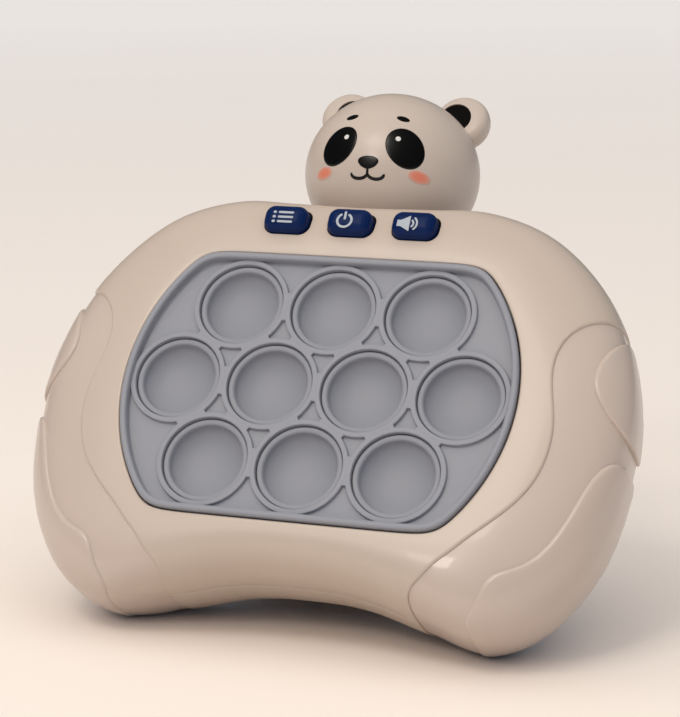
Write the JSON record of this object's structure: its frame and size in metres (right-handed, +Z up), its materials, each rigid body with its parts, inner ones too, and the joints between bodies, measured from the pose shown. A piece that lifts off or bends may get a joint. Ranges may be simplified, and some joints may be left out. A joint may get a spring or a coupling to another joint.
{
  "type": "handheld electronic bubble pop game",
  "caption": "Gamepad-shaped handheld game with an animal head, sprung silicone bubbles to press, function buttons and a screwed battery door; it stands leaning back on its grips.",
  "frame": {"origin": "on the floor, in the middle of the bounding box's base", "axes": "+X to the right of someone who looks at the panel, +Y to the back, +Z up"},
  "size_m": [0.1588, 0.1114, 0.1305],
  "materials": {
    "shell": "satin moulded ABS",
    "grip_cover": "polished moulded ABS",
    "head": "satin moulded ABS with printed face",
    "silicone": "matte silicone",
    "carbon": "carbon-filled silicone and ink",
    "frame_plastic": "moulded ABS",
    "circuit_board": "lacquered glass-fibre board",
    "led": "clear cast lens",
    "chip": "moulded epoxy",
    "socket": "moulded nylon",
    "button": "moulded ABS with printed symbol",
    "stem": "moulded acetal",
    "switch": "moulded nylon",
    "ribbon": "flat ribbon cable",
    "speaker_metal": "pressed steel, painted",
    "magnet": "sintered ferrite with steel cup",
    "cone": "pressed paper",
    "red_lead": "insulated wire",
    "black_lead": "insulated wire",
    "cell": "plain wrapped dry cell",
    "contact_metal": "plated spring steel",
    "screw": "zinc-plated steel"
  },
  "bodies": {
    "case": {"front_shell": "shell", "rear_shell": "shell", "left_grip": "grip_cover", "right_grip": "grip_cover", "head_front": "head", "head_rear": "head", "head_screws": "screw", "bubble_mat": "silicone", "bubble_frame": "frame_plastic", "frame_screws": "screw", "main_board": "circuit_board", "board_screws": "screw", "contact_rings": "carbon", "leds": "led", "main_chip": "chip", "lead_sockets": "socket", "button_switches": "switch", "button_board": "circuit_board", "button_board_screws": "screw", "button_ribbon": "ribbon", "speaker_frame": "speaker_metal", "speaker_magnet": "magnet", "speaker_cone": "cone", "speaker_screws": "screw", "speaker_lead": "black_lead", "battery_cells": "cell", "battery_contacts": "contact_metal", "battery_springs": "contact_metal", "battery_plus_lead": "red_lead", "battery_minus_lead": "black_lead", "case_screws": "screw"},
    "bubble_1_body": {"bubble_1": "silicone", "bubble_contact_1": "carbon"},
    "bubble_2_body": {"bubble_2": "silicone", "bubble_contact_2": "carbon"},
    "bubble_3_body": {"bubble_3": "silicone", "bubble_contact_3": "carbon"},
    "bubble_4_body": {"bubble_4": "silicone", "bubble_contact_4": "carbon"},
    "bubble_5_body": {"bubble_5": "silicone", "bubble_contact_5": "carbon"},
    "bubble_6_body": {"bubble_6": "silicone", "bubble_contact_6": "carbon"},
    "bubble_7_body": {"bubble_7": "silicone", "bubble_contact_7": "carbon"},
    "bubble_8_body": {"bubble_8": "silicone", "bubble_contact_8": "carbon"},
    "bubble_9_body": {"bubble_9": "silicone", "bubble_contact_9": "carbon"},
    "bubble_10_body": {"bubble_10": "silicone", "bubble_contact_10": "carbon"},
    "menu_key": {"menu_button": "button", "menu_switch_stem": "stem"},
    "power_key": {"power_button": "button", "power_switch_stem": "stem"},
    "sound_key": {"sound_button": "button", "sound_switch_stem": "stem"},
    "door": {"battery_door": "shell", "battery_door_screw": "screw"}
  },
  "joints": [
    {"name": "bubble_1_press", "type": "slide", "parent": "case", "child": "bubble_1_body", "axis": [0, 0.8028, -0.5962], "range_m": [0, 0.003], "stiffness_N_per_m": 400},
    {"name": "bubble_2_press", "type": "slide", "parent": "case", "child": "bubble_2_body", "axis": [0, 0.8028, -0.5962], "range_m": [0, 0.003], "stiffness_N_per_m": 400},
    {"name": "bubble_3_press", "type": "slide", "parent": "case", "child": "bubble_3_body", "axis": [0, 0.8028, -0.5962], "range_m": [0, 0.003], "stiffness_N_per_m": 400},
    {"name": "bubble_4_press", "type": "slide", "parent": "case", "child": "bubble_4_body", "axis": [0, 0.8028, -0.5962], "range_m": [0, 0.003], "stiffness_N_per_m": 400},
    {"name": "bubble_5_press", "type": "slide", "parent": "case", "child": "bubble_5_body", "axis": [0, 0.8028, -0.5962], "range_m": [0, 0.003], "stiffness_N_per_m": 400},
    {"name": "bubble_6_press", "type": "slide", "parent": "case", "child": "bubble_6_body", "axis": [0, 0.8028, -0.5962], "range_m": [0, 0.003], "stiffness_N_per_m": 400},
    {"name": "bubble_7_press", "type": "slide", "parent": "case", "child": "bubble_7_body", "axis": [0, 0.8028, -0.5962], "range_m": [0, 0.003], "stiffness_N_per_m": 400},
    {"name": "bubble_8_press", "type": "slide", "parent": "case", "child": "bubble_8_body", "axis": [0, 0.8028, -0.5962], "range_m": [0, 0.003], "stiffness_N_per_m": 400},
    {"name": "bubble_9_press", "type": "slide", "parent": "case", "child": "bubble_9_body", "axis": [0, 0.8028, -0.5962], "range_m": [0, 0.003], "stiffness_N_per_m": 400},
    {"name": "bubble_10_press", "type": "slide", "parent": "case", "child": "bubble_10_body", "axis": [0, 0.8028, -0.5962], "range_m": [0, 0.003], "stiffness_N_per_m": 400},
    {"name": "menu_press", "type": "slide", "parent": "case", "child": "menu_key", "axis": [0, 0.8028, -0.5962], "range_m": [0, 0.0008], "stiffness_N_per_m": 1500},
    {"name": "power_press", "type": "slide", "parent": "case", "child": "power_key", "axis": [0, 0.8028, -0.5962], "range_m": [0, 0.0008], "stiffness_N_per_m": 1500},
    {"name": "sound_press", "type": "slide", "parent": "case", "child": "sound_key", "axis": [0, 0.8028, -0.5962], "range_m": [0, 0.0008], "stiffness_N_per_m": 1500},
    {"name": "battery_door_hinge", "type": "hinge", "parent": "case", "child": "door", "pos_m": [0, 0.00892, 0.00053], "axis": [-1, 0, 0], "range_deg": [0, 50]}
  ]
}
